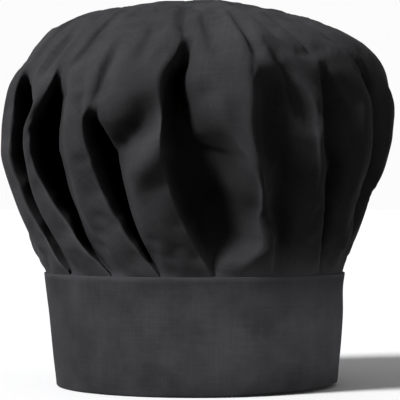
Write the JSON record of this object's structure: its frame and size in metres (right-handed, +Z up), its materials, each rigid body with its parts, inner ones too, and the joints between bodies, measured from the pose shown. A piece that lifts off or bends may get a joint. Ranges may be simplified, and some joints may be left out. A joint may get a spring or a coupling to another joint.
{
  "type": "chef hat",
  "caption": "Puffed chef hat: a crown of black cotton, pleated round its foot and gathered into an upright, slightly tapered band that is lapped at the back.",
  "frame": {"origin": "middle of the head opening, on the surface that the band's bottom edge stands on", "axes": "+Z up, along the axis of the head opening; the front of the hat faces -Y; +X is on the right of someone who looks at the front"},
  "size_m": [0.2504, 0.2447, 0.248],
  "materials": {
    "band_cotton": "matte plain weave, doubled and stiffened",
    "crown_cotton": "matte plain weave, soft"
  },
  "bodies": {
    "root": {"band": "band_cotton", "crown": "crown_cotton"}
  },
  "joints": []
}
